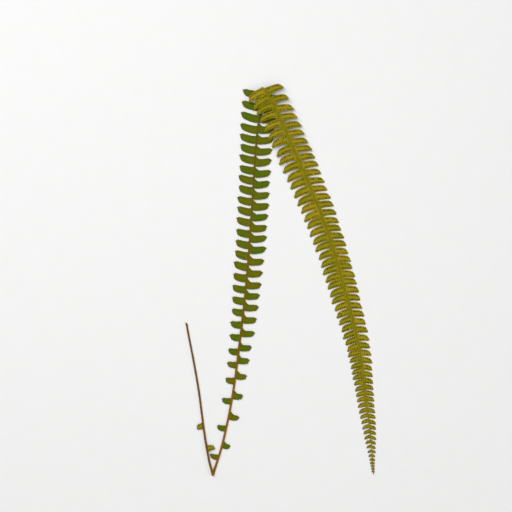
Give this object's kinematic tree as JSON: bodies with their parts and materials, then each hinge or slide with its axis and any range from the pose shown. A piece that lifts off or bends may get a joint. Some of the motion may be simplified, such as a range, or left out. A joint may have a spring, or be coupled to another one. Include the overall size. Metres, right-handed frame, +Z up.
{
  "type": "pressed ladder fern frond",
  "caption": "Long narrow fern frond, pressed flat and folded in three like the letter N, with its bare brown stalk.",
  "frame": {"origin": "under the middle of the folded frond's outline, on the surface that it lies on", "axes": "+Z up from the surface, +Y along the folded frond towards the fold at its top, +X towards the leg that ends in the tip"},
  "size_m": [0.1909, 0.391, 0.0064],
  "materials": {
    "leaf_upper": "satin",
    "leaf_under": "matte",
    "sori": "matte",
    "stalk": "satin"
  },
  "bodies": {
    "root": {"frond": "leaf_upper"}
  },
  "joints": []
}
